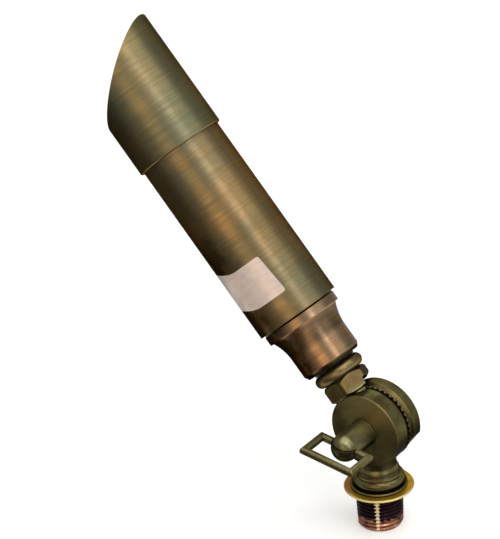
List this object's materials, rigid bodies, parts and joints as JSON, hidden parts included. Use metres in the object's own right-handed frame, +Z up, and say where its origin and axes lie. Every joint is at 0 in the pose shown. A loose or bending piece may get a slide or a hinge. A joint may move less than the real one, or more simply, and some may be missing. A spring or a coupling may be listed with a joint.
{
  "type": "directional spotlight",
  "caption": "Brass bullet spotlight with an angle-cut glare shroud, a toothed tilting knuckle locked by a loop-handled thumb screw, and a half-inch pipe nipple under a round flange.",
  "frame": {"origin": "on the nipple axis in the seat plane, at the underside of the flange washer", "axes": "+Z up along the nipple axis into the light, -Z the way the nipple screws in, +Y along the knuckle axis away from the thumb screw, the head leans towards -X"},
  "size_m": [0.1428, 0.0587, 0.2127],
  "materials": {
    "tube_brass": "brushed antique bronze patina",
    "cap_brass": "brushed antique copper patina",
    "cast_bronze": "cast, dark olive bronze patina",
    "plain_brass": "turned",
    "bright_brass": "polished yellow brass",
    "thread_brass": "dark copper, cut thread",
    "black_rubber": "matt",
    "silicone": "matt translucent",
    "clear_glass": "clear, polished",
    "spring_steel": "satin",
    "lamp_mirror": "faceted reflector",
    "lamp_glass": "clear quartz",
    "pin_metal": "plain",
    "ceramic": "glazed ceramic",
    "zinc_steel": "zinc plated",
    "lead_sleeve": "glass-fibre sleeve",
    "crimp_plastic": "moulded"
  },
  "bodies": {
    "base": {"lower_knuckle": "cast_bronze", "flange_washer": "bright_brass", "nipple": "thread_brass"},
    "clamp": {"clamp_washer": "cast_bronze"},
    "head": {"body_tube": "tube_brass", "shroud_o_rings": "black_rubber", "lens_ring": "spring_steel", "lens": "clear_glass", "lens_gasket": "silicone", "lamp_reflector": "lamp_mirror", "lamp_capsule": "lamp_glass", "lamp_pins": "pin_metal", "lampholder": "ceramic", "socket_bracket": "zinc_steel", "bracket_screws": "zinc_steel", "socket_leads": "lead_sleeve", "splice_caps": "crimp_plastic", "base_cap": "cap_brass", "base_cap_gasket": "black_rubber", "base_cap_o_ring": "black_rubber", "neck_gasket": "black_rubber", "upper_knuckle": "cast_bronze"},
    "shroud": {"shroud": "tube_brass"},
    "thumb_screw": {"thumb_screw": "cast_bronze", "clamp_stud": "plain_brass"}
  },
  "joints": [
    {"name": "clamp_travel", "type": "slide", "parent": "base", "child": "clamp", "axis": [0, 1, 0], "range_m": [0, 0.00135]},
    {"name": "screw_turn", "type": "hinge", "parent": "clamp", "child": "thumb_screw", "pos_m": [0, 0, 0.031], "axis": [0, 1, 0], "range_deg": [0, 389]},
    {"name": "head_tilt", "type": "hinge", "parent": "clamp", "child": "head", "pos_m": [0, 0, 0.031], "axis": [0, 1, 0], "range_deg": [-45, 126]},
    {"name": "shroud_turn", "type": "hinge", "parent": "head", "child": "shroud", "pos_m": [0, 0, 0.031], "axis": [-0.6494, 0, 0.7604], "continuous": true}
  ],
  "couplings": [
    {"joint": "screw_turn", "follows": "clamp_travel", "rad_per_m": 5026.5}
  ]
}
